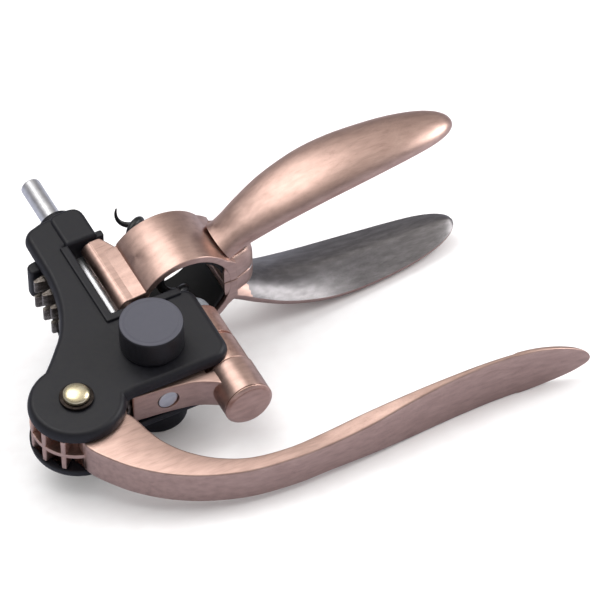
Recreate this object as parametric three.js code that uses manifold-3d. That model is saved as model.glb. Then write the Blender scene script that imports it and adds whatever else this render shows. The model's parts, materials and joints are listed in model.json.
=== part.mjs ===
// Lever corkscrew, lying on its side as it is put down on a table.
//
// Everything is first built in the tool's own frame, in millimetres:
//   origin  on the lever's pivot axis, half way between the two covers
//   X       from the pivot towards the clamp handles' grips
//   Y       along the worm, from its holder towards the bottle
//   Z       square to the covers, towards the near one
// The last section lays the tool on the table, on its far knob, far grip and lever.
import * as THREE from 'three';
import { mergeVertices } from 'three/addons/utils/BufferGeometryUtils.js';
import Module from 'manifold-3d';

const wasm = await Module();
wasm.setup();

// ---------------------------------------------------------------- driving dimensions
const GAP = 0.3;                    // running gap between two pieces that touch
const COVER_TOP = 10.25;            // outer face of each cover, from the middle plane
const COVER_IN = 6.6;               // inner face of each cover
const HUB_R = 15.2;                 // round lobe of the covers over the gear
const RAISE = 0.9;                  // slot frame and end block stand this much proud
const LEVER_HALF = 6.2;             // half the thickness of the gear and the lever's arch

const TEETH_PER_TURN = 13;
const PITCH_R = 12.35;              // rolling radius of the gear
const GEAR_R = 14.9;                // tips of the gear teeth
const WEB_HALF = 0.75;              // half the web that parts the two rows of gear teeth
const FIRST_GAP = -8.4;             // angle of the first tooth gap, degrees
const GAPS = 10;
const TOOTH_TIP = 2.35;             // rack tooth height above the pitch line
const TOOTH_ROOT = 3.05;            // and its depth below
const TOOTH_HALF = 1.1;             // half width of a rack tooth on the pitch line
const TOOTH_SLOPE = 0.21;           // flank slope of a rack tooth
const BACKLASH = 0.28;

const RACK_HALF = 5.8;              // half the height of the rack
const RACK_BACK = 20.5;             // far side of the rack's bar
const RACK_START = -3.1;            // end of the rack that sits on the carriage's arm
const ROD_X = 28;                   // guide rod axis
const ROD_R = 3.25;
const ROD_START = -5.7;
const ROD_END = 93;
const WORM_X = 49.2;                // worm axis
const HOLDER_R = 7.93;
const HOLDER_END = -19.4;           // flat end of the worm holder
const PARTING_Y = -5.5;             // where the holder meets the nut carrier
const CARRIER_R = 7.2;
const CARRIER_END = 18.4;
const INSERT_END = 24.2;
const BORE_R = 5.3;                 // free way for the worm

const WORM_TIP = 70.4;
const WORM_PITCH = 10.5;
const WORM_MEAN_R = 2.9;            // radius of the wire's centre line
const WIRE_R = 1.45;
const HELIX_START = 13;
const SHANK_R = 2.1;

const SLOT_X = 24;                  // handle slot in the covers
const SLOT_Y0 = 25.4;
const SLOT_Y1 = 56.5;
const FRAME_W = 2.7;                // raised frame round the slot
const BLOCK_X = 34.4;               // end block that carries the hinge pins
const BLOCK_Y = 70.5;
const FRONT_X = 52.4;               // front edge of the covers
const LOWER_Y = -5.3;               // lower edge of the covers
const BOSS_R = 6.2;                 // round boss where the rod comes out
const BOSS_END = 75;

const HINGE_X = 31.4;               // hinge pins of the two handles
const HINGE_Z = 6.5;
const BARREL_R = 3.4;
const PIN_R = 1.5;
const FLANGE_Y0 = 28.3;
const FLANGE_Y1 = 55.6;
const JAW_Y1 = 50.1;                // bottle side of the jaws
const JAW_X = 51;                   // middle of the bottle neck
const JAW_IN = 15;
const JAW_T = 2.4;
const PAD_T = 1.6;
const CREASE = 140.4;               // angle where the jaw meets its flange, degrees
const GRIP_Y = 37.6;                // middle of the grips
const ROOT_GAP = 0.15;              // half the gap between the closed roots

const KNOB_X = 30;
const KNOB_Y = 9;
const KNOB_R = 10;
const KNOB_HEIGHT = 10.15;          // above the cover's running gap
const SPIGOT_R = 4;
const RIVET_R = 2.9;
const RIVET_HEAD_R = 4.2;
const RIVET_HEAD = 2.3;             // height of the rivet's head
const WASHER_R = 5.4;
const WASHER_T = 0.85;
const SCREW_R = 1.2;
const SCREW_HEAD_R = 2.3;
const SCREW_BOSS_R = 2.8;

const RAD = Math.PI / 180;

// ---------------------------------------------------------------- sizes that follow from those
const ON_COVER = COVER_TOP + GAP;   // where the knobs and washers start
const KNOB_TOP = ON_COVER + KNOB_HEIGHT;
const WASHER_TOP = ON_COVER + WASHER_T;
const RIVET_TOP = WASHER_TOP + GAP + RIVET_HEAD;
const JAW_OUT = JAW_IN + JAW_T;
const PAD_IN = JAW_IN - PAD_T;      // bore of the closed pads
const CREASE_X = JAW_X + JAW_OUT * Math.cos(CREASE * RAD);

// ---------------------------------------------------------------- colours
const COLOURS = {
  plastic: { color: 0x302f38, roughness: 0.5, metalness: 0 },
  copper: { color: 0xb8978a, roughness: 0.38, metalness: 1 },
  steel: { color: 0xd6d7da, roughness: 0.3, metalness: 1 },
  brass: { color: 0xe9dfb4, roughness: 0.35, metalness: 1 },
  coated: { color: 0x17181a, roughness: 0.45, metalness: 0.2 },
  dark_steel: { color: 0x3a3531, roughness: 0.45, metalness: 1 },
  rubber: { color: 0x1b1b1d, roughness: 0.85, metalness: 0 },
  nylon: { color: 0x80838a, roughness: 0.6, metalness: 0 },
};

// ---------------------------------------------------------------- solids
/** A closed three.js geometry as a manifold solid. */
function solid(geometry) {
  let bare = geometry.index ? geometry.toNonIndexed() : geometry.clone();
  bare.deleteAttribute('normal');
  bare.deleteAttribute('uv');
  bare = mergeVertices(bare, 1e-4);
  const mesh = new wasm.Mesh({
    numProp: 3,
    vertProperties: new Float32Array(bare.attributes.position.array),
    triVerts: new Uint32Array(bare.index.array),
  });
  mesh.merge();
  return new wasm.Manifold(mesh);
}

/** A manifold solid as a three.js geometry. */
function surface(body) {
  const mesh = body.getMesh();
  const geometry = new THREE.BufferGeometry();
  geometry.setAttribute('position', new THREE.BufferAttribute(mesh.vertProperties.slice(), 3));
  geometry.setIndex(new THREE.BufferAttribute(mesh.triVerts.slice(), 1));
  const flat = geometry.toNonIndexed();
  flat.computeVertexNormals();
  return flat;
}

const joined = (first, ...others) => others.reduce((sum, next) => sum.add(next), first);
const cut = (first, ...others) => others.reduce((rest, next) => rest.subtract(next), first);

/** A box from its two corners. */
function block(x0, x1, y0, y1, z0, z1) {
  const geometry = new THREE.BoxGeometry(x1 - x0, y1 - y0, z1 - z0);
  geometry.translate((x0 + x1) / 2, (y0 + y1) / 2, (z0 + z1) / 2);
  return solid(geometry);
}

/** A round bar along Y. */
function barY(x, z, radius, y0, y1, sides = 24) {
  const geometry = new THREE.CylinderGeometry(radius, radius, y1 - y0, sides);
  geometry.translate(x, (y0 + y1) / 2, z);
  return solid(geometry);
}

/** A round bar along Z. */
function barZ(x, y, radius, z0, z1, sides = 24) {
  const geometry = new THREE.CylinderGeometry(radius, radius, z1 - z0, sides);
  geometry.rotateX(Math.PI / 2);
  geometry.translate(x, y, (z0 + z1) / 2);
  return solid(geometry);
}

/** A body turned about Z from [radius, height] points, the first and last on the axis. */
function turnedZ(x, y, profile, sides = 40) {
  const geometry = new THREE.LatheGeometry(profile.map((p) => new THREE.Vector2(...p)), sides);
  geometry.rotateX(Math.PI / 2);
  geometry.translate(x, y, 0);
  return solid(geometry);
}

/** A body turned about a line along Y from [radius, y] points. */
function turnedY(x, z, profile, sides = 40) {
  const geometry = new THREE.LatheGeometry(profile.map((p) => new THREE.Vector2(...p)), sides);
  geometry.translate(x, 0, z);
  return solid(geometry);
}

/** An outline in the XY plane, from z0 to z1, with its outer edges eased by bevel. */
function plate(shape, z0, z1, bevel = 0, curveSegments = 7) {
  const geometry = new THREE.ExtrudeGeometry(shape, {
    depth: z1 - z0 - 2 * bevel,
    curveSegments,
    bevelEnabled: bevel > 0,
    bevelThickness: bevel,
    bevelSize: bevel,
    bevelOffset: -bevel,
    bevelSegments: 1,
  });
  geometry.translate(0, 0, z0 + bevel);
  return solid(geometry);
}

/** An outline in the XZ plane, from y0 to y1. */
function slabY(shape, y0, y1, curveSegments = 12) {
  const geometry = new THREE.ExtrudeGeometry(shape, {
    depth: y1 - y0, bevelEnabled: false, curveSegments,
  });
  geometry.rotateX(Math.PI / 2);       // the outline's second coordinate becomes Z
  geometry.translate(0, y1, 0);
  return solid(geometry);
}

/** A closed skin over rings of points, each ring an array of Vector3 of one length. */
function loft(rings) {
  const count = rings[0].length;
  const positions = [];
  const index = [];
  rings.forEach((ring) => ring.forEach((p) => positions.push(p.x, p.y, p.z)));
  for (let r = 0; r < rings.length - 1; r += 1) {
    for (let k = 0; k < count; k += 1) {
      const a = r * count + k;
      const b = r * count + ((k + 1) % count);
      index.push(a, b, b + count, a, b + count, a + count);
    }
  }
  [0, rings.length - 1].forEach((r, end) => {
    const middle = rings[r].reduce((sum, p) => sum.add(p), new THREE.Vector3());
    middle.divideScalar(count);
    const centre = positions.length / 3;
    positions.push(middle.x, middle.y, middle.z);
    for (let k = 0; k < count; k += 1) {
      const a = r * count + k;
      const b = r * count + ((k + 1) % count);
      index.push(...(end ? [centre, a, b] : [centre, b, a]));
    }
  });
  const geometry = new THREE.BufferGeometry();
  geometry.setAttribute('position', new THREE.Float32BufferAttribute(positions, 3));
  geometry.setIndex(index);
  let body = solid(geometry);
  if (body.volume() < 0 || body.isEmpty()) {
    geometry.setIndex(index.reverse());
    body = solid(geometry);
  }
  return body;
}

/** A solid moved, turned or mirrored by a three.js matrix. */
function moved(body, matrix) {
  const mesh = body.getMesh();
  const geometry = new THREE.BufferGeometry();
  geometry.setAttribute('position', new THREE.BufferAttribute(mesh.vertProperties.slice(), 3));
  geometry.applyMatrix4(matrix);
  const corners = mesh.triVerts.slice();
  geometry.setIndex(new THREE.BufferAttribute(matrix.determinant() < 0 ? corners.reverse() : corners, 1));
  return solid(geometry);
}

const turned = (body, angle) => moved(body, new THREE.Matrix4().makeRotationZ(angle));

/** The same solid on the far side of the middle plane. */
const mirrored = (body) => moved(body, new THREE.Matrix4().makeScale(1, 1, -1));

// ---------------------------------------------------------------- gear and rack
const CIRCULAR_PITCH = (2 * Math.PI * PITCH_R) / TEETH_PER_TURN;
const rackToothY = (k) => FIRST_GAP * RAD * PITCH_R + k * CIRCULAR_PITCH;

/** A rack tooth's outline about its own middle line, grown by extra on every side. */
function rackTooth(y, extra) {
  const tip = PITCH_R - TOOTH_TIP - extra;
  const root = PITCH_R + TOOTH_ROOT + extra;
  const tipHalf = TOOTH_HALF - TOOTH_TIP * TOOTH_SLOPE + extra;
  const rootHalf = TOOTH_HALF + TOOTH_ROOT * TOOTH_SLOPE + extra;
  return new THREE.Shape([
    new THREE.Vector2(tip, y - tipHalf),
    new THREE.Vector2(root, y - rootHalf),
    new THREE.Vector2(root, y + rootHalf),
    new THREE.Vector2(tip, y + tipHalf),
  ]);
}

/** The space that a rack tooth sweeps out of the gear as the two roll together. */
function gearGap() {
  const steps = 5;
  const reach = 1.0;                  // radians of roll on each side of the pitch point
  let swept = null;
  for (let k = -steps; k <= steps; k += 1) {
    const turn = (reach * k) / steps;
    const tooth = plate(rackTooth(-turn * PITCH_R, BACKLASH), -LEVER_HALF - 1, LEVER_HALF + 1);
    const rolled = turned(tooth, turn);
    swept = swept ? swept.add(rolled) : rolled;
  }
  return swept;
}

function leverBody() {
  let hub = barZ(0, 0, GEAR_R, -LEVER_HALF, LEVER_HALF, 60);
  const web = barZ(0, 0, GEAR_R + 5, -WEB_HALF, WEB_HALF, 24);
  const gap = gearGap().subtract(web);
  for (let k = 0; k < GAPS; k += 1) {
    const turn = FIRST_GAP * RAD + (k * 2 * Math.PI) / TEETH_PER_TURN;
    hub = hub.subtract(turned(gap, turn));
  }
  const arm = leverArm();
  return joined(hub, arm).subtract(barZ(0, 0, RIVET_R + GAP, -LEVER_HALF - 1, LEVER_HALF + 1));
}

/** The lever's arch and paddle, from edge points [x, y] and half heights along its length. */
function leverArm() {
  const outer = [[-5, -10], [-4.4, -16.6], [0.3, -24.5], [6, -31.3], [13.6, -37.8], [23.6, -43.6],
    [36, -47.9], [50, -49.7], [62, -49.8], [76, -49.3], [90, -47.9], [104, -46.7], [118, -46.3],
    [130, -46.9], [140, -48.2], [146.6, -49.4], [149.6, -50.2]];
  const inner = [[9, -5], [13.6, -10.5], [15.8, -18.6], [18.3, -25], [22.6, -31.3], [29.2, -37.3],
    [38.3, -41.9], [50, -43.8], [62, -43.4], [76, -42.9], [90, -43.2], [104, -43.5], [118, -43.9],
    [130, -45], [140, -46.7], [146.2, -48], [149.4, -49.6]];
  const half = [6.2, 6.2, 6.2, 6.2, 6.2, 6.2, 6.2, 6.2, 6.1, 6.7, 8.1, 8.8, 8.9, 8.1, 6.4, 3.8, 1.2];
  const outerLine = new THREE.CatmullRomCurve3(outer.map(([x, y], i) => new THREE.Vector3(x, y, half[i])));
  const innerLine = new THREE.CatmullRomCurve3(inner.map(([x, y], i) => new THREE.Vector3(x, y, half[i])));
  const stations = 26;
  const rings = [];
  for (let s = 0; s <= stations; s += 1) {
    const a = outerLine.getPoint(s / stations);
    const b = innerLine.getPoint(s / stations);
    const width = Math.hypot(a.x - b.x, a.y - b.y);
    const ease = Math.min(0.9, width * 0.2, a.z * 0.3);
    rings.push(easedSection(a, b, Math.min(a.z, b.z), ease));
  }
  return loft(rings);
}

/** A four-sided section with eased corners, between plan points a and b, from -h to +h. */
function easedSection(a, b, h, ease) {
  const width = Math.hypot(a.x - b.x, a.y - b.y);
  const corners = [
    [0, h - ease], [ease, h], [width - ease, h], [width, h - ease],
    [width, ease - h], [width - ease, -h], [ease, -h], [0, ease - h],
  ];
  return corners.map(([u, z]) => new THREE.Vector3(
    a.x + ((b.x - a.x) * u) / width,
    a.y + ((b.y - a.y) * u) / width,
    z,
  ));
}

function rackBody() {
  const start = RACK_START;
  const end = rackToothY(GAPS - 1) + 3;
  const root = PITCH_R + TOOTH_ROOT;
  let body = block(root - 0.1, RACK_BACK, start, end, -RACK_HALF, RACK_HALF);
  for (let k = 0; k < GAPS; k += 1) {
    const tooth = plate(rackTooth(rackToothY(k), 0), -RACK_HALF, RACK_HALF);
    body = body.add(tooth);
  }
  const slot = block(0, root - 0.1, start - 1, end + 1, -WEB_HALF - GAP, WEB_HALF + GAP);
  return body.subtract(slot);
}

function rackTipBody() {
  const start = rackToothY(GAPS - 1) + 3 + GAP;
  const end = start + 4.6;
  const left = PITCH_R - TOOTH_TIP + 0.6;
  const shape = new THREE.Shape();
  shape.moveTo(left, start);
  shape.lineTo(RACK_BACK, start);
  shape.lineTo(RACK_BACK, end - 1);
  shape.quadraticCurveTo(RACK_BACK, end, RACK_BACK - 1, end);
  shape.lineTo(left + 3.6, end);
  shape.quadraticCurveTo(left, end, left, start + 1.2);
  shape.closePath();
  return plate(shape, -RACK_HALF, RACK_HALF, 0.6, 6);
}

// ---------------------------------------------------------------- covers
/** The covers' outline seen along Z. */
function coverOutline() {
  const shape = new THREE.Shape();
  const cornerR = 6;
  const startAngle = 62 * RAD;
  const endAngle = 342 * RAD;
  shape.moveTo(HUB_R * Math.cos(startAngle), HUB_R * Math.sin(startAngle));
  shape.absarc(0, 0, HUB_R, startAngle, endAngle, false);
  shape.quadraticCurveTo(16.4, LOWER_Y, 20, LOWER_Y);
  shape.lineTo(FRONT_X - cornerR, LOWER_Y);
  shape.absarc(FRONT_X - cornerR, LOWER_Y + cornerR, cornerR, -90 * RAD, 0, false);
  shape.lineTo(FRONT_X, SLOT_Y0 - 6);
  shape.quadraticCurveTo(FRONT_X - 0.5, SLOT_Y0 - 1, FRONT_X - 3.5, SLOT_Y0);
  shape.lineTo(SLOT_X, SLOT_Y0);
  shape.lineTo(SLOT_X, SLOT_Y1);
  shape.lineTo(BLOCK_X, SLOT_Y1);
  shape.lineTo(BLOCK_X, BLOCK_Y - 3.5);
  shape.absarc(BLOCK_X - 3.5, BLOCK_Y - 3.5, 3.5, 0, 90 * RAD, false);
  shape.lineTo(SLOT_X - 1, BLOCK_Y);
  shape.lineTo(20, BLOCK_Y - 2.2);
  shape.quadraticCurveTo(14.2, BLOCK_Y - 3.5, 14, BLOCK_Y - 9);
  shape.quadraticCurveTo(13.6, 55, 13.4, 49);
  shape.bezierCurveTo(13.2, 38, 10.6, 33.5, 6.6, 26.5);
  shape.quadraticCurveTo(4.2, 21.5, HUB_R * Math.cos(startAngle), HUB_R * Math.sin(startAngle));
  return shape;
}

/** The raised frame that runs along two sides of the handle slot. */
function slotFrame() {
  const shape = new THREE.Shape();
  shape.moveTo(SLOT_X - FRAME_W, SLOT_Y0 - FRAME_W);
  shape.lineTo(FRONT_X - 4.5, SLOT_Y0 - FRAME_W);
  shape.lineTo(FRONT_X - 4.5, SLOT_Y0);
  shape.lineTo(SLOT_X, SLOT_Y0);
  shape.lineTo(SLOT_X, SLOT_Y1);
  shape.lineTo(SLOT_X - FRAME_W, SLOT_Y1);
  shape.closePath();
  return plate(shape, COVER_IN, COVER_TOP + RAISE, 0.3);
}

const SCREWS = [['screw_middle', 36.2, 13], ['screw_lower', 18.9, 62.9]];

/** One cover, on the near side. recessed tells whether its screws start from this side. */
function coverBody(recessed) {
  const easing = 1.3;
  const shell = plate(coverOutline(), COVER_IN - 2 * easing, COVER_TOP, easing)
    .subtract(block(-40, 80, -40, 100, 0, COVER_IN));
  const endBlock = block(SLOT_X - FRAME_W, BLOCK_X, SLOT_Y1, BLOCK_Y - 1.5, ROOT_GAP, COVER_IN + 1);
  const endCap = block(SLOT_X - 0.6, BLOCK_X - 1, SLOT_Y1, BLOCK_Y - 2, COVER_IN, COVER_TOP + RAISE);
  const lug = block(BLOCK_X - 0.5, BLOCK_X + 2, SLOT_Y1 - 0.4, SLOT_Y1 + 2, HINGE_Z, COVER_TOP - 0.5);
  const rib = block(SLOT_X - FRAME_W, WORM_X - CARRIER_R - 1.4, SLOT_Y0 - FRAME_W, SLOT_Y0,
    ROOT_GAP, COVER_IN + 1);
  const boss = barY(ROD_X, 0, BOSS_R, BLOCK_Y - 4, BOSS_END)
    .subtract(block(0, 60, BLOCK_Y - 6, BOSS_END + 2, -20, ROOT_GAP));
  let body = joined(shell, slotFrame(), endBlock, endCap, lug, rib, boss);
  SCREWS.forEach(([, x, y]) => {
    body = body.add(barZ(x, y, SCREW_BOSS_R, ROOT_GAP, COVER_IN + 1, 20));
  });
  body = cut(
    body,
    barY(ROD_X, 0, ROD_R + GAP, -20, 110),
    barY(WORM_X, 0, CARRIER_R + 0.5, -20, SLOT_Y0 + 2),
    barY(HINGE_X, HINGE_Z, PIN_R + GAP, SLOT_Y0 - 1.6, SLOT_Y1 + 5, 20),
    barZ(KNOB_X, KNOB_Y, SPIGOT_R + GAP, COVER_IN - 1, COVER_TOP + 5),
    barZ(0, 0, RIVET_R + GAP, COVER_IN - 1, COVER_TOP + 5),
  );
  SCREWS.forEach(([, x, y]) => {
    body = body.subtract(barZ(x, y, SCREW_R + GAP, ROOT_GAP - 1, recessed ? 20 : COVER_IN, 16));
    if (recessed) {
      body = body.subtract(barZ(x, y, SCREW_HEAD_R + GAP, COVER_TOP - 2.2, 20, 20));
    }
  });
  return body;
}

// ---------------------------------------------------------------- carriage, worm and nut
function carriageBody() {
  const armHalf = 5.6;
  const armBack = 0.6;
  const armRight = WORM_X - CARRIER_R - 0.9;
  const shape = new THREE.Shape();
  shape.moveTo(17, RACK_START - GAP);
  shape.lineTo(16.4, ROD_START + 1.4);
  shape.quadraticCurveTo(18, ROD_START + 0.2, ROD_X, ROD_START);
  shape.lineTo(36, ROD_START - 1.5);
  shape.quadraticCurveTo(40, ROD_START - 2.6, 43, ROD_START - 7);
  shape.lineTo(WORM_X, ROD_START - 7);
  shape.lineTo(WORM_X, PARTING_Y - 0.05);
  shape.lineTo(armRight, PARTING_Y - 0.05);
  shape.lineTo(armRight, armBack);
  shape.lineTo(RACK_BACK + GAP, armBack);
  shape.lineTo(RACK_BACK + GAP, RACK_START - GAP);
  shape.closePath();
  const arm = plate(shape, -armHalf, armHalf, 0.4, 8);
  const holder = barY(WORM_X, 0, HOLDER_R, HOLDER_END + 1.4, PARTING_Y, 48);
  return cut(
    joined(arm, holder),
    barY(WORM_X, 0, BORE_R + 0.3, HOLDER_END, PARTING_Y - 2.6),
    barY(WORM_X, 0, SHANK_R + GAP, HOLDER_END, PARTING_Y + 3, 24),
    barY(ROD_X, 0, ROD_R + GAP, ROD_START - 4, armBack + 4),
  );
}

function holderCapBody() {
  const chamfer = 0.8;
  const top = HOLDER_END + 1.4 - GAP;
  return turnedY(WORM_X, 0, [
    [0, HOLDER_END], [HOLDER_R - chamfer, HOLDER_END], [HOLDER_R, HOLDER_END + chamfer],
    [HOLDER_R, top], [0, top],
  ], 48);
}

function wormBody() {
  const head = barY(WORM_X, 0, BORE_R - 0.2, HOLDER_END + 2.9, PARTING_Y - 2.9, 24);
  const shank = barY(WORM_X, 0, SHANK_R, PARTING_Y - 4, HELIX_START + 1.5, 20);
  const turns = (WORM_TIP - HELIX_START) / WORM_PITCH;
  const stepsPerTurn = 12;
  const steps = Math.round(turns * stepsPerTurn);
  const tipAngle = 225 * RAD;
  const rings = [];
  for (let k = 0; k <= steps; k += 1) {
    const t = k / steps;
    const angle = tipAngle - (1 - t) * turns * 2 * Math.PI;
    const climb = Math.min(1, (t * turns) / 0.5);
    const point = Math.min(1, ((1 - t) * turns) / 0.8);
    const radius = WORM_MEAN_R * (climb ** 0.8);
    const wire = 0.22 + (WIRE_R - 0.22) * (point ** 0.7);
    const middle = new THREE.Vector3(
      WORM_X + radius * Math.cos(angle),
      HELIX_START + t * (WORM_TIP - HELIX_START),
      -radius * Math.sin(angle),
    );
    const along = new THREE.Vector3(
      -Math.sin(angle) * radius,
      WORM_PITCH / (2 * Math.PI),
      -Math.cos(angle) * radius,
    ).normalize();
    const outward = new THREE.Vector3(Math.cos(angle), 0, -Math.sin(angle));
    const side = new THREE.Vector3().crossVectors(along, outward).normalize();
    const lift = new THREE.Vector3().crossVectors(side, along).normalize();
    rings.push(circleRing(middle, lift, side, wire, 8));
  }
  return joined(head, shank, loft(rings));
}

/** Points round a circle in the plane of two unit vectors. */
function circleRing(middle, u, v, radius, count) {
  return Array.from({ length: count }, (_, k) => {
    const angle = (2 * Math.PI * k) / count;
    return middle.clone()
      .addScaledVector(u, radius * Math.cos(angle))
      .addScaledVector(v, radius * Math.sin(angle));
  });
}

function nutCarrierBody() {
  const grooveY = 6.1;
  const start = PARTING_Y + GAP;
  const body = barY(WORM_X, 0, CARRIER_R, start, CARRIER_END, 48);
  const notch = block(WORM_X - 9, WORM_X + 9, grooveY - 0.6, grooveY + 0.6, CARRIER_R - 1.6, CARRIER_R + 2);
  const flat = block(WORM_X - 9, WORM_X + 9, grooveY + 0.5, CARRIER_END + 1, CARRIER_R - 0.9, CARRIER_R + 2);
  return cut(
    body,
    barY(WORM_X, 0, BORE_R, start - 1, CARRIER_END + 1),
    notch,
    mirrored(notch),
    flat,
    mirrored(flat),
  );
}

function nutInsertBody() {
  const outer = CARRIER_R - 0.8;
  const bore = WORM_MEAN_R + WIRE_R + 0.5;
  const start = CARRIER_END + GAP;
  const depth = INSERT_END - start;
  const profile = [[bore, start], [outer, start]];
  for (let k = 0; k <= 5; k += 1) {
    const angle = (k / 5) * 80 * RAD;
    const radius = bore + (outer - bore) * Math.cos(angle);
    profile.push([radius, start + depth * (0.35 + 0.65 * Math.sin(angle))]);
  }
  profile.push([bore, INSERT_END - 0.1], [bore, start]);
  return turnedY(WORM_X, 0, profile, 28);
}

// ---------------------------------------------------------------- handles
/** Hinge flange, jaw band and root of the near handle, seen along Y. */
function jawOutline() {
  const shape = new THREE.Shape();
  const flangeTop = 10.3;
  const outerStart = CREASE * RAD;
  const neckAngle = 38 * RAD;
  const innerStart = 12 * RAD;
  const innerEnd = Math.acos((CREASE_X + 0.3 - JAW_X) / JAW_IN);
  shape.moveTo(HINGE_X, HINGE_Z + BARREL_R);
  shape.lineTo(CREASE_X - 0.2, flangeTop);
  shape.lineTo(JAW_X + JAW_OUT * Math.cos(outerStart), JAW_OUT * Math.sin(outerStart));
  shape.absarc(JAW_X, 0, JAW_OUT, outerStart, neckAngle, true);
  shape.lineTo(72, 8.6);
  shape.quadraticCurveTo(76, 5, 76, ROOT_GAP);
  shape.lineTo(JAW_X + JAW_IN, ROOT_GAP);
  shape.lineTo(JAW_X + JAW_IN * Math.cos(innerStart), JAW_IN * Math.sin(innerStart));
  shape.absarc(JAW_X, 0, JAW_IN, innerStart, innerEnd, false);
  shape.lineTo(CREASE_X - 1.2, 5.2);
  shape.lineTo(HINGE_X, HINGE_Z - BARREL_R + 0.4);
  shape.closePath();
  return shape;
}

/** The grip, a leaf-shaped bar that rises from the root and then runs along X. */
function gripBody() {
  const xs = [66, 72, 77.5, 86.5, 98, 108.5, 119, 129, 138, 143.5, 146.6];
  const zs = [9, 11.6, 14.8, 19, 22.4, 24, 24.6, 24.7, 24.3, 23.8, 23.4];
  const widths = [6.5, 7.6, 8.8, 10.4, 11.4, 11.4, 10.4, 8.9, 6.2, 3.8, 1.2];
  const heights = [4.4, 4.7, 4.7, 4.9, 5.3, 5.3, 5, 4.4, 3.4, 2.2, 0.8];
  const line = new THREE.CatmullRomCurve3(xs.map((x, i) => new THREE.Vector3(x, 0, zs[i])));
  const size = new THREE.CatmullRomCurve3(xs.map((x, i) => new THREE.Vector3(x, widths[i], heights[i])));
  const stations = 18;
  const rings = [];
  for (let s = 0; s <= stations; s += 1) {
    const p = line.getPoint(s / stations);
    const d = size.getPoint(s / stations);
    const along = line.getTangent(s / stations);
    const up = new THREE.Vector3(-along.z, 0, along.x).normalize();
    const count = 14;
    rings.push(Array.from({ length: count }, (_, k) => {
      const angle = (2 * Math.PI * k) / count;
      const flatten = Math.sin(angle) < 0 ? 0.75 : 1;      // the inner side is flatter
      return new THREE.Vector3(p.x, GRIP_Y + d.y * Math.cos(angle), p.z)
        .addScaledVector(up, d.z * flatten * Math.sin(angle));
    }));
  }
  return loft(rings);
}

function handleBody() {
  const jaw = slabY(jawOutline(), FLANGE_Y0, JAW_Y1);
  const barrel = barY(HINGE_X, HINGE_Z, BARREL_R, FLANGE_Y0, FLANGE_Y1);
  const flange = new THREE.Shape();
  flange.moveTo(HINGE_X, FLANGE_Y0);
  flange.lineTo(CREASE_X - 0.2, FLANGE_Y0);
  flange.lineTo(CREASE_X - 0.2, JAW_Y1);
  flange.lineTo(34, FLANGE_Y1);
  flange.lineTo(HINGE_X, FLANGE_Y1);
  flange.closePath();
  const wing = plate(flange, HINGE_Z - 1, HINGE_Z + BARREL_R);
  const rootTrim = cut(
    block(64, 90, FLANGE_Y0 - 5, JAW_Y1 + 5, -1, 40),
    rootPlan(),
  );
  const trimmed = cut(joined(jaw, wing, barrel), rootTrim);
  return cut(
    joined(trimmed, gripBody()),
    barY(HINGE_X, HINGE_Z, PIN_R + GAP, FLANGE_Y0 - 2, FLANGE_Y1 + 2, 20),
    barY(JAW_X, 0, JAW_IN, FLANGE_Y0 - 2, JAW_Y1 + 2, 64),
    block(20, 160, 0, 80, -5, ROOT_GAP),
  );
}

/** What stays of the root, seen along Z: as wide as the jaw, narrowing to a round end. */
function rootPlan() {
  const shape = new THREE.Shape();
  shape.moveTo(60, FLANGE_Y0);
  shape.lineTo(65.5, FLANGE_Y0);
  shape.quadraticCurveTo(76, GRIP_Y - 7, 76.2, GRIP_Y);
  shape.quadraticCurveTo(76, GRIP_Y + 8, 65.5, JAW_Y1);
  shape.lineTo(60, JAW_Y1);
  shape.closePath();
  return plate(shape, -2, 45);
}

function padBody() {
  const shape = new THREE.Shape();
  const from = 16 * RAD;
  const to = 148 * RAD;
  const outer = JAW_IN - GAP;
  shape.moveTo(JAW_X + PAD_IN * Math.cos(from), PAD_IN * Math.sin(from));
  shape.lineTo(JAW_X + outer * Math.cos(from), outer * Math.sin(from));
  shape.absarc(JAW_X, 0, outer, from, to, false);
  shape.lineTo(JAW_X + PAD_IN * Math.cos(to), PAD_IN * Math.sin(to));
  shape.absarc(JAW_X, 0, PAD_IN, to, from, true);
  return slabY(shape, FLANGE_Y0 + 1.2, JAW_Y1 - 1.2, 14);
}

// ---------------------------------------------------------------- fasteners and knobs
function knobBody() {
  const base = ON_COVER;
  const edge = 1.1;
  return turnedZ(KNOB_X, KNOB_Y, [
    [0, COVER_IN + GAP], [SPIGOT_R, COVER_IN + GAP], [SPIGOT_R, base], [KNOB_R, base],
    [KNOB_R, KNOB_TOP - edge], [KNOB_R - 0.35 * edge, KNOB_TOP - 0.35 * edge],
    [KNOB_R - edge, KNOB_TOP], [0, KNOB_TOP],
  ], 48);
}

/** The pivot rivet: a straight shank with a low dome at each end. */
function rivetBody() {
  const under = WASHER_TOP + GAP;
  const profile = [[0, -RIVET_TOP]];
  const dome = [];
  for (let k = 1; k <= 4; k += 1) {
    const angle = (k / 4) * 90 * RAD;
    dome.push([RIVET_HEAD_R * Math.sin(angle), under + 0.6 + (RIVET_TOP - under - 0.6) * Math.cos(angle)]);
  }
  dome.forEach(([r, z]) => profile.push([r, -z]));
  profile.push([RIVET_HEAD_R, -under], [RIVET_R, -under], [RIVET_R, under], [RIVET_HEAD_R, under]);
  dome.reverse().forEach(([r, z]) => profile.push([r, z]));
  profile.push([0, RIVET_TOP]);
  return turnedZ(0, 0, profile, 24);
}

function washerBody() {
  const base = ON_COVER;
  return turnedZ(0, 0, [
    [RIVET_R + GAP, base], [WASHER_R, base], [WASHER_R, WASHER_TOP - 0.3],
    [WASHER_R - 0.3, WASHER_TOP], [RIVET_R + GAP, WASHER_TOP], [RIVET_R + GAP, base],
  ], 32);
}

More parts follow.
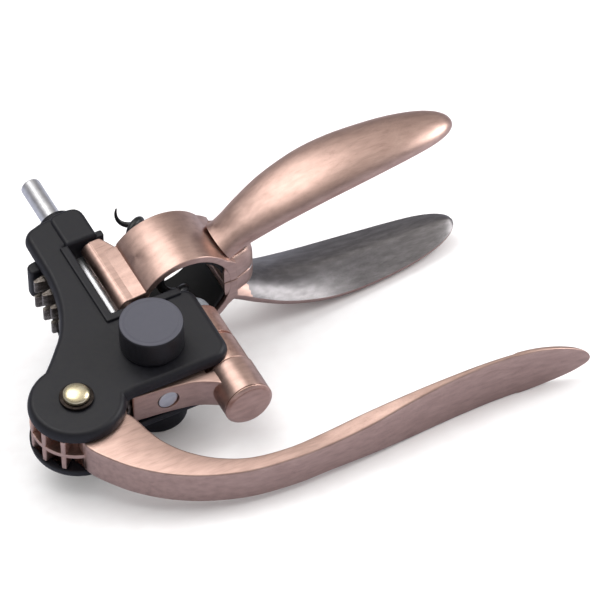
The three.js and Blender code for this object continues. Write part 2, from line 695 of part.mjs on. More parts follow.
function screwBody(x, y) {
  const headTop = -(COVER_TOP - 0.4);
  const headBase = -(COVER_TOP - 2.2 + GAP);
  return joined(
    barZ(x, y, SCREW_HEAD_R, headTop, headBase, 20),
    barZ(x, y, SCREW_R, headBase - 0.5, COVER_IN - 1.2, 16),
  );
}

function pinBody() {
  return barY(HINGE_X, HINGE_Z, PIN_R, SLOT_Y0 - 1.4, SLOT_Y1 + 4.6, 20);
}

// ---------------------------------------------------------------- the assembly
const nearHandle = handleBody();
const nearPad = padBody();
const pieces = [
  ['near_cover', 'plastic', coverBody(false)],
  ['far_cover', 'plastic', mirrored(coverBody(true))],
  ['lever', 'copper', leverBody()],
  ['pivot_rivet', 'brass', rivetBody()],
  ['near_washer', 'steel', washerBody()],
  ['far_washer', 'steel', mirrored(washerBody())],
  ['near_knob', 'plastic', knobBody()],
  ['far_knob', 'plastic', mirrored(knobBody())],
  ['carriage', 'copper', carriageBody()],
  ['holder_cap', 'copper', holderCapBody()],
  ['rack', 'dark_steel', rackBody()],
  ['rack_tip', 'plastic', rackTipBody()],
  ['guide_rod', 'steel', barY(ROD_X, 0, ROD_R, ROD_START, ROD_END, 40)],
  ['thrust_washer', 'steel', barY(WORM_X, 0, BORE_R - 0.4, HOLDER_END + 1.5, HOLDER_END + 2.5, 24)],
  ['worm', 'coated', wormBody()],
  ['nut_carrier', 'copper', nutCarrierBody()],
  ['nut_insert', 'nylon', nutInsertBody()],
  ['near_handle', 'copper', nearHandle],
  ['far_handle', 'copper', mirrored(nearHandle)],
  ['near_pad', 'rubber', nearPad],
  ['far_pad', 'rubber', mirrored(nearPad)],
  ['near_hinge_pin', 'steel', pinBody()],
  ['far_hinge_pin', 'steel', mirrored(pinBody())],
  ...SCREWS.map(([name, x, y]) => [name, 'dark_steel', screwBody(x, y)]),
];

const tool = new THREE.Group();
pieces.forEach(([name, material, body]) => {
  const mesh = new THREE.Mesh(surface(body), new THREE.MeshStandardMaterial(COLOURS[material]));
  mesh.name = name;
  tool.add(mesh);
});

// ---------------------------------------------------------------- laying it on the table
/** The vertex of a named piece that is lowest along a direction. */
function lowest(name, up) {
  const { position } = tool.getObjectByName(name).geometry.attributes;
  const point = new THREE.Vector3();
  const best = new THREE.Vector3();
  let least = Infinity;
  for (let i = 0; i < position.count; i += 1) {
    point.fromBufferAttribute(position, i);
    if (point.dot(up) < least) {
      least = point.dot(up);
      best.copy(point);
    }
  }
  return best;
}

// The table touches one point each of the far knob, the far grip and the lever.
const up = new THREE.Vector3(0, 0, 1);
for (let round = 0; round < 12; round += 1) {
  const [a, b, c] = ['far_knob', 'far_handle', 'lever'].map((name) => lowest(name, up));
  up.crossVectors(b.clone().sub(a), c.clone().sub(a)).normalize();
  if (up.z < 0) {
    up.negate();
  }
}
tool.quaternion.setFromUnitVectors(up, new THREE.Vector3(0, 0, 1));
tool.updateMatrixWorld(true);
const box = new THREE.Box3().setFromObject(tool, true);
tool.position.set(-(box.min.x + box.max.x) / 2, -(box.min.y + box.max.y) / 2, -box.min.z);

const group = new THREE.Group();
group.add(tool);
export default group;
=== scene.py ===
# %% [markdown]
# # A lever corkscrew, finished in Blender
#
# The mechanical model is ready made: its solids, joints and sizes come in as a fixed frame.
# This lesson gives each piece the shape and the finish that it has on the real tool.
# Each step says what the piece is, how it could be made, and why this way was chosen.

# %% Load the frame
import json
import math

import bmesh
import bpy
import numpy as np
from mathutils import Matrix, Vector


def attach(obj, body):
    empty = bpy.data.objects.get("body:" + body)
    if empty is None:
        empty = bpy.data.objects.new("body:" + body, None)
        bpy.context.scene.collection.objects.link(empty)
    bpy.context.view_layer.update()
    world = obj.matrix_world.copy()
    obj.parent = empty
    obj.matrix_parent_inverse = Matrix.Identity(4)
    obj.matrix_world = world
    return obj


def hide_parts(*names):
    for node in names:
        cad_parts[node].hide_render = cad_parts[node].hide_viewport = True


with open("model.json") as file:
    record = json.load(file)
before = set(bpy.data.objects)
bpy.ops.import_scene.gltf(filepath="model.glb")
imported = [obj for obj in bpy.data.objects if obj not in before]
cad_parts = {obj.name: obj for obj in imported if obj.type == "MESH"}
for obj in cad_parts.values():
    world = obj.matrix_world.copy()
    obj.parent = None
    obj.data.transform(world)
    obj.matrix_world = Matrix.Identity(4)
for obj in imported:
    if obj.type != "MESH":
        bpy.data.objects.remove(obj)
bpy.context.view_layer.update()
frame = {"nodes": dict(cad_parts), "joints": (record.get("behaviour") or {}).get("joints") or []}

# %% [markdown]
# The tool lies on its side and a little tipped, so its own directions aren't those of the table.
# Two joints tell where it lies: the lever turns about the tool's Z, and the carriage slides along
# its Y. Every piece below is written in tool millimetres: X runs from the lever's pivot to the
# grips, Y along the worm to the bottle, and Z squarely out of the near cover.

# %% The tool's own axes
joints = {joint["name"]: joint for joint in frame["joints"]}
ORIGIN = np.array(joints["lever_pivot"]["pos_m"])
TOOL_Z = -np.array(joints["lever_pivot"]["axis"])
TOOL_Y = -np.array(joints["carriage_slide"]["axis"])
TOOL_X = np.cross(TOOL_Y, TOOL_Z)
AXES = np.array([TOOL_X, TOOL_Y, TOOL_Z])
TILT = Matrix(AXES.T.tolist()).to_euler()
print("tool origin", ORIGIN.round(4), "tilt in degrees", [round(math.degrees(a), 2) for a in TILT])


def place(points):
    """Tool millimetres to metres on the table: origin plus each coordinate times its axis."""
    return ORIGIN + 0.001 * (np.asarray(points, float) @ AXES)


# %% [markdown]
# ## Surfaces from arrays
#
# A shell is a pair: an array of points and a list of faces. Each is made by one of a few
# functions, all of which compute whole arrays at once. Plates and lofts are stacks of rings, so
# one function, `skin`, joins the rings and closes the ends. Working this way keeps every size in
# the open, where a bevelled box would hide it.

# %% Stacked rings
def skin(rings, ring=False):
    """Closed shell over rings, an array (rings, points, 3): quads join ring r to r + 1, and one
    many-sided face closes each end, unless it is a ring, whose last ring meets its first. Its
    faces are turned outwards if its volume is negative."""
    rings = np.asarray(rings, float)
    count, sides = rings.shape[:2]
    here = np.arange((count - 1) * sides)
    beside = here - here % sides + (here + 1) % sides
    quads = np.stack([here, beside, beside + sides, here + sides], 1)
    faces = quads.tolist()
    if not ring:
        faces.append(list(range(sides))[::-1])
        faces.append(list(range((count - 1) * sides, count * sides)))
    points = rings.reshape(-1, 3)
    a, b, c, d = (points[quads[:, k]] for k in range(4))
    volume = (np.cross(a, b) * c).sum() + (np.cross(a, c) * d).sum()
    for ring, sign in ((rings[0], -1), (rings[-1], 1)):
        volume += sign * (np.cross(ring, np.roll(ring, -1, 0)) @ ring.mean(0)).sum()
    if volume < 0:
        faces = [face[::-1] for face in faces]
    return points, faces


square = np.array([[0, 0, 0], [1, 0, 0], [1, 1, 0], [0, 1, 0]])
print("faces of a cube made by skin:", len(skin([square, square + [0, 0, 1]])[1]))

# %% [markdown]
# Corners of moulded and cast parts are never sharp. `rounded` puts a short parabola on each
# corner of an outline: at parameter s the point is (1-s)^2 a + 2 s (1-s) corner + s^2 b, where a
# and b lie on the two sides. `inset` moves a whole outline inwards, which makes an edge fillet
# when rings of it are stacked.

# %% Outlines
def rounded(corners, radii, steps=6):
    """Closed outline whose corner k is cut back by radii[k] and joined by a parabola."""
    corner = np.asarray(corners, float)
    before, after = np.roll(corner, 1, 0) - corner, np.roll(corner, -1, 0) - corner
    back = np.broadcast_to(np.asarray(radii, float), len(corner))[:, None]
    reach = [np.linalg.norm(side, axis=1)[:, None] for side in (before, after)]
    a = corner + before / reach[0] * np.minimum(back, 0.48 * reach[0])
    b = corner + after / reach[1] * np.minimum(back, 0.48 * reach[1])
    s = np.linspace(0, 1, steps)[None, :, None]
    curve = (1 - s) ** 2 * a[:, None] + 2 * s * (1 - s) * corner[:, None] + s**2 * b[:, None]
    outline = curve.reshape(-1, 2)
    keep = np.linalg.norm(outline - np.roll(outline, 1, 0), axis=1) > 1e-4
    return outline[keep]


def arc(cx, cy, radius, start, end, steps):
    """Points on a circle, between two angles in degrees."""
    angle = np.radians(np.linspace(start, end, steps))
    return np.stack([cx + radius * np.cos(angle), cy + radius * np.sin(angle)], 1)


def split(outline, step):
    """Where a closed outline gets extra points so that none are further apart than step: for
    each point, the side it lies on and its share of the way along that side."""
    length = np.linalg.norm(np.roll(outline, -1, 0) - outline, axis=1)
    counts = np.maximum(1, np.ceil(length / step)).astype(int)
    side = np.repeat(np.arange(len(outline)), counts)
    part = np.arange(counts.sum()) - np.repeat(np.cumsum(counts) - counts, counts)
    return side, (part / counts[side])[:, None]


def inset(outline, amount):
    """Outline moved inwards: each point goes along the mean of its two sides' inner normals."""
    outline = np.asarray(outline, float)
    ahead = np.roll(outline, -1, 0) - outline
    ahead /= np.linalg.norm(ahead, axis=1)[:, None]
    normal = np.stack([-ahead[:, 1], ahead[:, 0]], 1)
    mean = normal + np.roll(normal, 1, 0)
    mean /= np.maximum((mean**2).sum(1), 0.6)[:, None] / 2
    x, y = outline.T
    area = (x * np.roll(y, -1) - np.roll(x, -1) * y).sum()
    return outline + mean * amount * np.sign(area)


rounded_square = rounded([[0, 0], [9, 0], [9, 9], [0, 9]], 1)
print("points of a square with round corners:", len(rounded_square))

# %% [markdown]
# A plate's edge is a list of levels: how high, and how far in. `edge` gives the levels of a
# quarter ellipse, drop high and reach wide, with one more ring just inside it on the flat, which
# keeps the flat face's shading flat.

# %% Plates with eased edges
def edge(top, drop, reach, steps=6, sign=1):
    """Levels of a rounded edge below a flat at height top: height top - drop (1 - sin a), inset
    reach (1 - cos a), for a from 0 to 90 degrees, then a holding ring."""
    a = np.linspace(0, math.pi / 2, steps)
    levels = np.stack([top - sign * drop * (1 - np.sin(a)), reach * (1 - np.cos(a))], 1)
    return np.vstack([levels, [top, reach + 0.15]])


def plate(outline, levels, plane="XY", step=1.3):
    """Closed shell: the outline, inset and lifted as each level says, with extra points along
    its sides. In plane XZ the height runs along Y."""
    order = {"XY": [0, 1, 2], "XZ": [0, 2, 1]}[plane]
    outline = np.asarray(outline, float)
    side, share = split(outline, step)
    rings = []
    for height, reach in levels:
        line = inset(outline, reach)
        line = line[side] * (1 - share) + np.roll(line, -1, 0)[side] * share
        rings.append(np.column_stack([line, np.full(len(line), height)])[:, order])
    return skin(rings)


def slab(outline, low, high, ease, plane="XY"):
    """A plate with both edges eased by the same small amount."""
    below = edge(low, ease, ease, 4, -1)[::-1]
    above = edge(high, ease, ease, 4)
    return plate(outline, np.vstack([below, above]), plane)


def box_outline(x0, x1, y0, y1, radius=0.0):
    """Rectangle with round corners."""
    return rounded([[x0, y0], [x1, y0], [x1, y1], [x0, y1]], radius)


def turned(profile, centre, axis, sides=96, ring=False):
    """Body of revolution: [radius, height] points swept round an axis, Y or Z, at centre. A ring
    has a closed profile that stays clear of the axis."""
    profile = np.asarray(profile, float)
    if ring:
        profile = np.vstack([profile, profile[:1]])
    angle = np.linspace(0, 2 * math.pi, sides, endpoint=False)
    radius, height = profile[:, 0][:, None], profile[:, 1][:, None]
    across, up = radius * np.cos(angle), radius * np.sin(angle)
    level = np.broadcast_to(height, across.shape)
    parts = [across, up, level] if axis == "Z" else [across, level, up]
    offset = [centre[0], centre[1], 0] if axis == "Z" else [centre[0], 0, centre[1]]
    return skin(np.stack(parts, 2) + offset, ring)


def eased_profile(points, radii, steps=5):
    """Open [radius, height] profile with round corners. The two end points stay as they are."""
    closed = rounded(points, [0, *radii, 0], steps)
    return np.asarray(closed)


def through(points, count):
    """Smooth line through points (Catmull-Rom): each span blends its four nearest points with
    cubic weights of the distance along the span."""
    p = np.asarray(points, float)
    p = np.vstack([2 * p[0] - p[1], p, 2 * p[-1] - p[-2]])
    t = np.linspace(0, len(p) - 3 - 1e-9, count)
    i = t.astype(int)
    s = (t - i)[:, None]
    a, b, c, d = p[i], p[i + 1], p[i + 2], p[i + 3]
    cubic = (3 * b - a - 3 * c + d) * s**3
    return 0.5 * (2 * b + (c - a) * s + (2 * a - 5 * b + 4 * c - d) * s**2 + cubic)


print("levels of an eased edge:", len(edge(1, 0.5, 0.5)))

# %% [markdown]
# ## From shells to pieces
#
# A casting or moulding is often several simple bodies that grow into each other. Their shells are
# kept in one mesh, each closed, so every edge stays exactly as it was computed. Holes and notches
# are cut from the first shell with Blender's exact boolean, one plain tool at a time, and the
# result is stored at once, so that nothing live is left on the piece.

# %% Joining shells into one piece
def mesh_of(name, shells, far=False):
    """Blender mesh of some shells, laid on the table. far mirrors them to the tool's other side.
    Points of a shell that coincide, as at a turned body's pole, are merged."""
    made = bmesh.new()
    for points, faces in shells:
        part = bpy.data.meshes.new("part")
        laid = place(points * [1, 1, -1] if far else points)
        part.from_pydata(laid.tolist(), [], [face[::-1] for face in faces] if far else faces)
        known = len(made.verts)
        made.from_mesh(part)
        made.verts.ensure_lookup_table()
        bmesh.ops.remove_doubles(made, verts=made.verts[known:], dist=1e-6)
        bpy.data.meshes.remove(part)
    mesh = bpy.data.meshes.new(name)
    made.to_mesh(mesh)
    made.free()
    return mesh


def cut_shell(shell, tools, far=False):
    """Mesh of a shell with tools cut from it, one after another."""
    body = bpy.data.objects.new("body", mesh_of("body", [shell], far))
    bpy.context.scene.collection.objects.link(body)
    helpers = []
    for tool in tools:
        helper = bpy.data.objects.new("tool", mesh_of("tool", [tool], far))
        bpy.context.scene.collection.objects.link(helper)
        step = body.modifiers.new("step", "BOOLEAN")
        step.object, step.operation, step.solver = helper, "DIFFERENCE", "EXACT"
        helpers.append(helper)
    done = body.evaluated_get(bpy.context.evaluated_depsgraph_get())
    mesh = bpy.data.meshes.new_from_object(done)
    for helper in [body, *helpers]:
        bpy.data.objects.remove(helper)
    return mesh


def piece(name, body, material, nodes, shells, cut=(), far=False, crease=32):
    """One finished piece of closed shells, the first with holes cut from it, smooth except at
    edges sharper than crease degrees. It rides on a body and stands for CAD nodes."""
    mesh = mesh_of(name, shells[1:] if cut else shells, far)
    if cut:
        made = bmesh.new()
        made.from_mesh(mesh)
        made.from_mesh(cut_shell(shells[0], cut, far))
        made.to_mesh(mesh)
        made.free()
    mesh.polygons.foreach_set("use_smooth", np.ones(len(mesh.polygons), bool))
    mesh.set_sharp_from_angle(angle=math.radians(crease))
    mesh.materials.clear()
    mesh.materials.append(material)
    made = bpy.data.objects.new(name, mesh)
    bpy.context.scene.collection.objects.link(made)
    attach(made, body)
    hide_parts(*nodes)
    print(f"{name}: {len(mesh.vertices)} points, {len(mesh.polygons)} faces")
    return made


# %% [markdown]
# ## Finishes
#
# One function adds a node with its settings and its links. Colours are written as the sRGB hex
# values that a paint chart gives, and turned to the linear values that light adds up in.

# %% Nodes and colours
def linear(code):
    """sRGB hex to linear RGBA: a channel above 0.04045 is ((c + 0.055) / 1.055) ^ 2.4."""
    c = np.array([int(code[i : i + 2], 16) for i in (1, 3, 5)]) / 255
    return (*np.where(c <= 0.04045, c / 12.92, ((c + 0.055) / 1.055) ** 2.4), 1.0)


def add(tree, kind, inputs=(), stops=(), **settings):
    """A node of a kind with its own settings. inputs pairs a socket's name or number with a
    value, or with another node's output to link. stops pair a position on the node's colour
    ramp with a hex colour."""
    node = tree.nodes.new(kind)
    for name, value in settings.items():
        setattr(node, name, value)
    for key, value in inputs:
        if isinstance(value, bpy.types.NodeSocket):
            tree.links.new(value, node.inputs[key])
        else:
            node.inputs[key].default_value = value
    while stops and len(node.color_ramp.elements) < len(stops):
        node.color_ramp.elements.new(0.5)
    for element, (position, code) in zip(node.color_ramp.elements if stops else (), stops):
        element.position, element.color = position, linear(code)
    return node


def material_tree(name):
    """A new material, its node tree and its Principled shader."""
    material = bpy.data.materials.new(name)
    material.use_nodes = True
    return material, material.node_tree, material.node_tree.nodes["Principled BSDF"]


def cells(tree, size):
    """Object coordinates turned to the tool's own axes and divided by a cell size in mm."""
    spot = add(tree, "ShaderNodeTexCoord").outputs["Object"]
    metres = [mm * 0.001 for mm in size]
    mapping = add(
        tree, "ShaderNodeMapping",
        [("Vector", spot), ("Location", ORIGIN), ("Rotation", TILT), ("Scale", metres)],
        vector_type="TEXTURE",
    )
    return mapping.outputs[0]


print("sRGB 808080 in linear light:", round(float(linear("#808080")[0]), 3))

# %% [markdown]
# ### Antique copper, brushed
#
# The castings are zinc, plated with copper, darkened and then brushed along their length. That
# leaves three things for the eye: a rosy base that varies in soft patches, streaks along the
# brush, and a gloss that spreads across the streaks. The streaks are really about 0.05 mm wide.
# They are drawn 0.3 mm wide, the finest that shows at this size. Their noise is stretched 100 to
# 1 along the brush. The grips' inner sides get a painted reflection: a darker, greyer copy of the
# copper, standing in for the dim room that they mirror.

# %% Brushed metal
def brushed(name, light, mid, dark, cell, rough, spread=0.5, depth=0.5, axis="X"):
    """Brushed metal: patches 26 by 8 mm and streaks of one cell mix three colours and set the
    roughness; the streaks also give the bump."""
    material, tree, shader = material_tree(name)
    streaks = add(
        tree, "ShaderNodeTexNoise",
        [("Vector", cells(tree, cell)), ("Detail", 4.0), ("Roughness", 0.6)],
    )
    patches = add(
        tree, "ShaderNodeTexNoise", [("Vector", cells(tree, (26, 8, 8))), ("Detail", 1.0)]
    )
    both = add(tree, "ShaderNodeMix", [(0, 0.3), (2, streaks.outputs[0]), (3, patches.outputs[0])])
    stops = [(0.3, dark), (0.5, mid), (0.68, light)]
    colour = add(tree, "ShaderNodeValToRGB", [("Fac", both.outputs[0])], stops)
    tree.links.new(colour.outputs["Color"], shader.inputs["Base Color"])
    gloss = add(
        tree, "ShaderNodeMapRange",
        [
            ("Value", streaks.outputs[0]), ("From Min", 0.3), ("From Max", 0.7),
            ("To Min", rough - 0.05), ("To Max", rough + 0.08),
        ],
    )
    tree.links.new(gloss.outputs[0], shader.inputs["Roughness"])
    bump = add(
        tree, "ShaderNodeBump",
        [("Strength", depth), ("Distance", 0.00002), ("Height", streaks.outputs[0])],
    )
    tree.links.new(bump.outputs[0], shader.inputs["Normal"])
    tangent = add(tree, "ShaderNodeTangent", direction_type="RADIAL", axis=axis)
    tree.links.new(tangent.outputs[0], shader.inputs["Tangent"])
    shader.inputs["Metallic"].default_value = 1.0
    shader.inputs["Anisotropic"].default_value = spread
    return material


copper_cast = brushed(
    "copper plated zinc brushed lengthwise", "#dfc2b6", "#cfafa3", "#ad9086", (30, 0.3, 0.3), 0.36
)
# Painted reflection: a darker, greyer copy of the copper for the grips' inner faces.
copper_painted_reflection = brushed(
    "copper plated zinc with painted grey reflection", "#a5a2a3", "#878485", "#686566", (22, 0.3, 0.3), 0.36
)
copper_turned = brushed(
    "copper plated zinc turned", "#e6c6b8", "#d4b0a2", "#ae8c7f", (0.8, 7, 0.8), 0.33, axis="Y"
)
print("copper finishes: 3, streaks 0.3 mm wide")

# %% [markdown]
# The rod is drawn and polished along its length, the rack is ground, the washers are blackened
# in oil, and the rivet's brass is tumbled until it is pale. The same function makes them all;
# only the colours, the grain's cell and the spread of the gloss differ.

# %% Steel and brass
steel_drawn = brushed(
    "satin drawn steel", "#f2f2f4", "#e2e3e6", "#c6c7cb", (0.4, 14, 0.4), 0.36, 0.2, 0.3, "Y"
)
steel_dark = brushed(
    "blackened steel", "#4a433e", "#332d2a", "#1d1a19", (2, 2, 2), 0.42, 0.0, 0.4
)
steel_ground = brushed(
    "ground steel", "#c9c2bb", "#6e6761", "#3a3532", (4, 0.6, 0.6), 0.34, 0.2, 0.4
)
brass_pale = brushed(
    "pale brass tumbled", "#fff6da", "#f3e8c4", "#d9c796", (1.2, 1.2, 1.2), 0.3, 0.0, 0.3
)
print("metals:", [m.name for m in bpy.data.materials])

# %% [markdown]
# ### Moulded plastic and rubber
#
# The covers are black ABS, moulded in a finely eroded tool: a satin skin with a faint grain of
# about 0.25 mm and no real colour change. A trace of violet in the black is the pigment's. The
# knobs' flat faces are worn to a lighter grey. The pads are a duller rubber, and the nut insert
# is grey glass-filled nylon.

# %% Plastics
def moulded(name, base, tint, rough, grain, depth, face=None):
    """Moulded plastic: grain cells give the bump, wide cells the tone and a little roughness.
    A face colour covers what lies more than KNOB_FACE mm from the tool's middle."""
    material, tree, shader = material_tree(name)
    fine = add(
        tree, "ShaderNodeTexNoise", [("Vector", cells(tree, (grain,) * 3)), ("Detail", 2.0)]
    )
    wide = add(tree, "ShaderNodeTexNoise", [("Vector", cells(tree, (7, 7, 7))), ("Detail", 3.0)])
    fade = add(tree, "ShaderNodeValToRGB", [("Fac", wide.outputs[0])], [(0.35, base), (0.7, tint)])
    colour = fade.outputs["Color"]
    if face:
        height = add(tree, "ShaderNodeSeparateXYZ", [(0, cells(tree, (1, 1, 1)))]).outputs["Z"]
        outside = add(tree, "ShaderNodeMath", [(0, height)], operation="ABSOLUTE").outputs[0]
        inputs = [(0, outside), (1, KNOB_FACE)]
        worn = add(tree, "ShaderNodeMath", inputs, operation="GREATER_THAN").outputs[0]
        inputs = [(0, worn), (6, colour), (7, linear(face))]
        colour = add(tree, "ShaderNodeMix", inputs, data_type="RGBA").outputs[2]
    tree.links.new(colour, shader.inputs["Base Color"])
    gloss = add(
        tree, "ShaderNodeMapRange",
        [
            ("Value", wide.outputs[0]), ("From Min", 0.3), ("From Max", 0.7),
            ("To Min", rough - 0.05), ("To Max", rough + 0.05),
        ],
    )
    tree.links.new(gloss.outputs[0], shader.inputs["Roughness"])
    bump = add(
        tree, "ShaderNodeBump",
        [("Strength", depth), ("Distance", 0.00003), ("Height", fine.outputs[0])],
    )
    tree.links.new(bump.outputs[0], shader.inputs["Normal"])
    shader.inputs["IOR"].default_value = 1.49
    return material


KNOB_FACE = 20.5
abs_black = moulded("black ABS moulded", "#06060e", "#0c0c16", 0.5, 0.25, 0.35)
abs_knob = moulded(
    "charcoal ABS moulded and sanded", "#09090f", "#101016", 0.5, 0.2, 0.5, "#4a4a54"
)
rubber = moulded("black rubber moulded", "#101011", "#1a1a1b", 0.75, 0.4, 0.5)
nylon = moulded("grey nylon moulded", "#74777d", "#8c8f95", 0.5, 0.3, 0.3)
coated = moulded("black coated wire", "#0e0e10", "#1d1d1f", 0.35, 0.5, 0.25)
print("finishes in all:", len(bpy.data.materials))

# %% [markdown]
# ## The covers
#
# Two mirror moulded covers hold everything. Each is a plate with a wide rounded edge, a raised
# frame along the handle slot, a raised end block that carries the hinge pins, and half of the
# round boss where the guide rod comes out. The plate is one outline, stacked with an elliptic
# edge 2.9 mm high and 2 mm wide; the rest is joined to it.

# %% Cover shells
COVER_IN, COVER_TOP, RAISED = 6.6, 10.25, 11.15
HALF_GAP = 0.15  # half the gap where the two covers, or the two handles, meet
ROD_X, WORM_X, HINGE = 28.0, 49.2, (31.4, 6.5)

cover_outline = np.vstack([
    arc(0, 0, 15.2, 105, 338, 62),
    [[15.4, -5.6], [17.4, -5.3], [20, -5.3]],
    arc(44.9, 0.7, 6.0, -90, 0, 10),
    [[50.9, 18.4]],
    arc(46.5, 21.0, 4.4, 0, 90, 9),
    [[24, 25.4], [24, 56.5], [34.4, 56.5], [34.4, 66.5]],
    arc(30.4, 66.5, 4.0, 10, 90, 7),
    [[23, 70.5], [20.2, 70.2]],
    arc(18.6, 64.6, 4.9, 100, 176, 9),
    through([
        [13.6, 61], [13.5, 55], [13.3, 49], [12.2, 41], [10.3, 34.4], [8.2, 29.6], [5.98, 25.8],
        [3.28, 22.5], [-0.6, 18.1], [-3.93, 14.68],
    ], 44)[:-1],
])
cover_levels = np.vstack([[[COVER_IN, 0.3], [COVER_IN + 0.3, 0]], edge(COVER_TOP, 2.9, 2.0, 8)])
cover_plate = plate(cover_outline, cover_levels)
print("cover outline:", len(cover_outline), "points")

slot_frame = plate(
    rounded(
        [[21.3, 22.7], [46.9, 22.7], [46.9, 25.4], [24, 25.4], [24, 56.5], [21.3, 56.5]],
        [0.9, 0.9, 0, 0, 0, 0],
    ),
    np.vstack([[[COVER_IN, 0]], edge(RAISED, 0.45, 0.45, 4)]),
)
end_block = plate(
    rounded([[23.4, 56.5], [34.2, 56.5], [34.2, 70.2], [23.4, 70.2]], [0, 0, 4.4, 3.0], 8),
    np.vstack([[[HALF_GAP, 0]], edge(RAISED, 1.5, 1.3, 7)]),
)
end_lobe = plate(box_outline(21.3, 24.5, 56, 69, 0.4), [[HALF_GAP, 0], [COVER_IN + 0.5, 0]])
lug = slab(box_outline(33.6, 36.4, 56.1, 58.6, 0.8), 6.5, 9.9, 0.4)
rib = plate(box_outline(21.3, 40.6, 22.7, 25.4, 0.2), [[HALF_GAP, 0], [COVER_IN + 0.5, 0]])


def half_boss(profile, rod_radius, sides=40):
    """Half of a bored boss: at each height, an outer half circle and back along the bore's."""
    angle = np.linspace(0, math.pi, sides)
    rings = []
    for radius, height in profile:
        outer, inner = (
            np.stack([
                ROD_X + r * np.cos(angle), np.full(sides, height), HALF_GAP + r * np.sin(angle)
            ], 1)
            for r in (radius, rod_radius)
        )
        rings.append(np.vstack([outer, inner[::-1]]))
    return skin(rings)


boss = half_boss([[6.2, 66], [6.2, 74.1], [6.0, 74.7], [5.4, 75.0]], 3.55)
print("boss:", len(boss[0]), "points")

# %% [markdown]
# The far cover also has the recess that takes a screw's head; the other recess hides under its
# knob.
# Both covers get the screw bosses between them.

# %% Placing the covers
MIDDLE_SCREW, END_SCREW = (36.2, 13), (18.9, 62.9)
screw_bosses = [
    turned([[0, HALF_GAP], [2.8, HALF_GAP], [2.8, 7.6], [0, 7.6]], at, "Z", 40)
    for at in (MIDDLE_SCREW, END_SCREW)
]
screw_hole = turned([[0, 8.05], [2.6, 8.05], [2.6, 12], [0, 12]], END_SCREW, "Z", 40)
for side, far in (("near", False), ("far", True)):
    piece(
        f"{side}_cover_moulding", "frame", abs_black, [f"{side}_cover"],
        [cover_plate, end_lobe, end_block, slot_frame, lug, rib, *screw_bosses, boss],
        [screw_hole] if far else [], far,
    )

# %% [markdown]
# ## Knobs, rivet and washers
#
# All turned shapes: a profile goes round the axis. The knob has a flat top with a shallow step
# in it, and a short stem below. The rivet's head is a low dome that sits on a dark washer.

# %% Turned trim on the covers
ON_COVER = 10.55
knob = turned(
    eased_profile(
        [
            [0, 6.9], [4, 6.9], [4, ON_COVER], [9.6, ON_COVER], [10, 11.4],
            [10, 20.7], [8.6, 20.7], [8.3, 20.55], [0, 20.55],
        ],
        [0.2, 0.2, 0.3, 0.4, 1.0, 0.3, 0.2], 6,
    ), (30, 9), "Z", 128,
)
washer = turned(
    eased_profile([[3.2, ON_COVER], [5.4, ON_COVER], [5.4, 11.4], [3.2, 11.4]], [0.1, 0.35]),
    (0, 0), "Z", ring=True,
)
rise = np.linspace(0, 1, 12) * math.pi / 2
dome = np.stack([4.2 * np.sin(rise), 12.3 + 1.7 * np.cos(rise)], 1)
shank = [[4.2, -11.7], [2.9, -11.7], [2.9, 11.7], [4.2, 11.7]]
rivet = turned(
    np.vstack([[[0, -14]], (dome * [1, -1])[1:], shank, dome[::-1][:-1], [[0, 14]]]), (0, 0), "Z"
)
for side, far in (("near", False), ("far", True)):
    piece(f"{side}_knob_cap", "frame", abs_knob, [f"{side}_knob"], [knob], far=far)
    piece(
        f"{side}_washer_ring", "frame", steel_dark, [f"{side}_washer"], [washer],
        far=far,
    )
piece("pivot_rivet_head", "frame", brass_pale, ["pivot_rivet"], [rivet], crease=50)

# %% [markdown]
# ## The lever
#
# The lever is a forging: a gear at one end, then an arm that bows round the holder and ends in a
# thin paddle. Its teeth stand in two rows, parted by a web. The arm is a loft: at each station
# there is an outer and an inner edge point and a half height, and the section between them is a
# rectangle with eased corners. The gear is its own outline, twice, with a full disc between.

# %% Gear outline
PITCH_R, GEAR_R, ROOT_R, TEETH = 12.35, 14.9, 9.45, 13
FIRST_GAP, GAPS, WEB_HALF, LEVER_HALF = -8.4, 10, 0.75, 6.2


def gear_outline():
    """Circle of the tip radius with ten pockets: each pocket's corners are at tip and root, its
    half width there given as an angle, and all pockets are turned copies of one."""
    flank = np.array([[-10.6, GEAR_R], [-8.9, 12.2], [-7.4, ROOT_R]])
    pocket = np.vstack([flank, flank[::-1] * [-1, 1]])
    bar = np.array([[13.85, GEAR_R]])
    unit = np.vstack([pocket, bar])
    turns = FIRST_GAP + np.arange(GAPS) * 360 / TEETH
    angle = (turns[:, None] + unit[:, 0]).ravel()
    radius = np.tile(unit[:, 1], GAPS)
    solid = np.linspace(angle[-1] + 4, angle[0] + 356, 26)
    angle, radius = np.append(angle, solid), np.append(radius, np.full(len(solid), GEAR_R))
    angle = np.radians(angle)
    return np.stack([radius * np.cos(angle), radius * np.sin(angle)], 1)


teeth_outline = rounded(gear_outline(), 0.5, 4)
print("gear outline:", len(teeth_outline), "points")
OVERLAP = 0.05
tooth_rows = [
    slab(teeth_outline, WEB_HALF - OVERLAP, LEVER_HALF, 0.18),
    slab(teeth_outline, -LEVER_HALF, OVERLAP - WEB_HALF, 0.18),
]
gear_web = slab(arc(0, 0, GEAR_R - 0.05, 0, 357, 120), -WEB_HALF, WEB_HALF, 0.12)

